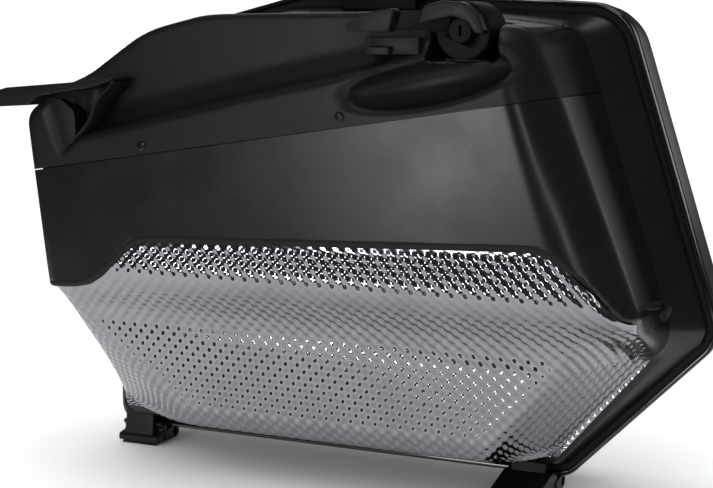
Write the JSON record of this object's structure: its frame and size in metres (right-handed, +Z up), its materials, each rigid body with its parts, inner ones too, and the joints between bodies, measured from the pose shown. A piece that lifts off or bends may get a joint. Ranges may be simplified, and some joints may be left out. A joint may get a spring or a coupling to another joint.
{
  "type": "motorcycle side case",
  "caption": "Hard motorcycle side case with bottom-hinged lid, rail hook and claw, carry handle and embossed heat shield.",
  "frame": {"origin": "centre of the bounding box's bottom face, lid closed", "axes": "+X to the motorcycle's rear, +Y outboard (lid side), +Z up; the case stands on its two hinge feet"},
  "size_m": [0.6162, 0.246, 0.426],
  "materials": {
    "shell_plastic": "satin black moulded shell",
    "panel_plastic": "grained black moulding",
    "gloss_black": "gloss black trim",
    "embossed_foil": "bright embossed aluminium sheet",
    "grip_rubber": "soft black rubber",
    "seal_rubber": "black sealing strip",
    "spacer_foam": "black high-temperature foam",
    "steel": "plain steel",
    "dark_steel": "black coated steel"
  },
  "bodies": {
    "case": {"inner_shell": "shell_plastic", "carrier_panel": "panel_plastic", "front_hook": "panel_plastic", "panel_screw_1": "dark_steel", "panel_screw_2": "dark_steel", "claw_pin": "steel", "slide_guide": "panel_plastic", "top_plate": "panel_plastic", "handle_pin_front": "steel", "handle_pin_rear": "steel", "heat_shield": "embossed_foil", "shield_pad_upper": "spacer_foam", "shield_pad_lower_front": "spacer_foam", "shield_pad_lower_rear": "spacer_foam", "hinge_base_front": "panel_plastic", "hinge_pin_front": "steel", "foot_front": "grip_rubber", "hinge_base_rear": "panel_plastic", "hinge_pin_rear": "steel", "foot_rear": "grip_rubber", "latch_striker": "dark_steel"},
    "lid": {"lid_shell": "shell_plastic", "lid_cover": "gloss_black", "lid_trim": "gloss_black", "lid_seal": "seal_rubber", "hinge_leaf_front": "dark_steel", "hinge_leaf_rear": "dark_steel", "latch_base": "panel_plastic", "latch_pin": "steel"},
    "claw": {"claw": "dark_steel"},
    "claw_lock": {"claw_lock": "steel"},
    "release_slide": {"release_slide": "dark_steel"},
    "carry_handle": {"carry_handle": "grip_rubber"},
    "latch_lever": {"latch_lever": "panel_plastic"}
  },
  "joints": [
    {"name": "lid_hinge", "type": "hinge", "parent": "case", "child": "lid", "pos_m": [-0.02206, 0.042, 0.008], "axis": [-1, 0, 0], "range_deg": [0, 80]},
    {"name": "latch_flip", "type": "hinge", "parent": "lid", "child": "latch_lever", "pos_m": [0.01794, 0.055, 0.421], "axis": [-1, 0, 0], "range_deg": [0, 60]},
    {"name": "claw_swing", "type": "hinge", "parent": "case", "child": "claw", "pos_m": [0.14194, -0.097, 0.384], "axis": [0, 1, 0], "range_deg": [0, 50]},
    {"name": "claw_key_turn", "type": "hinge", "parent": "claw", "child": "claw_lock", "pos_m": [0.14194, -0.099, 0.384], "axis": [0, 1, 0], "range_deg": [0, 90]},
    {"name": "release_travel", "type": "slide", "parent": "case", "child": "release_slide", "axis": [1, 0, 0], "range_m": [0, 0.012]},
    {"name": "handle_lift", "type": "hinge", "parent": "case", "child": "carry_handle", "pos_m": [0.01394, -0.02, 0.389], "axis": [-1, 0, 0], "range_deg": [0, 90]}
  ],
  "couplings": [
    {"joint": "release_travel", "follows": "claw_swing", "m_per_rad": 0.01375}
  ]
}
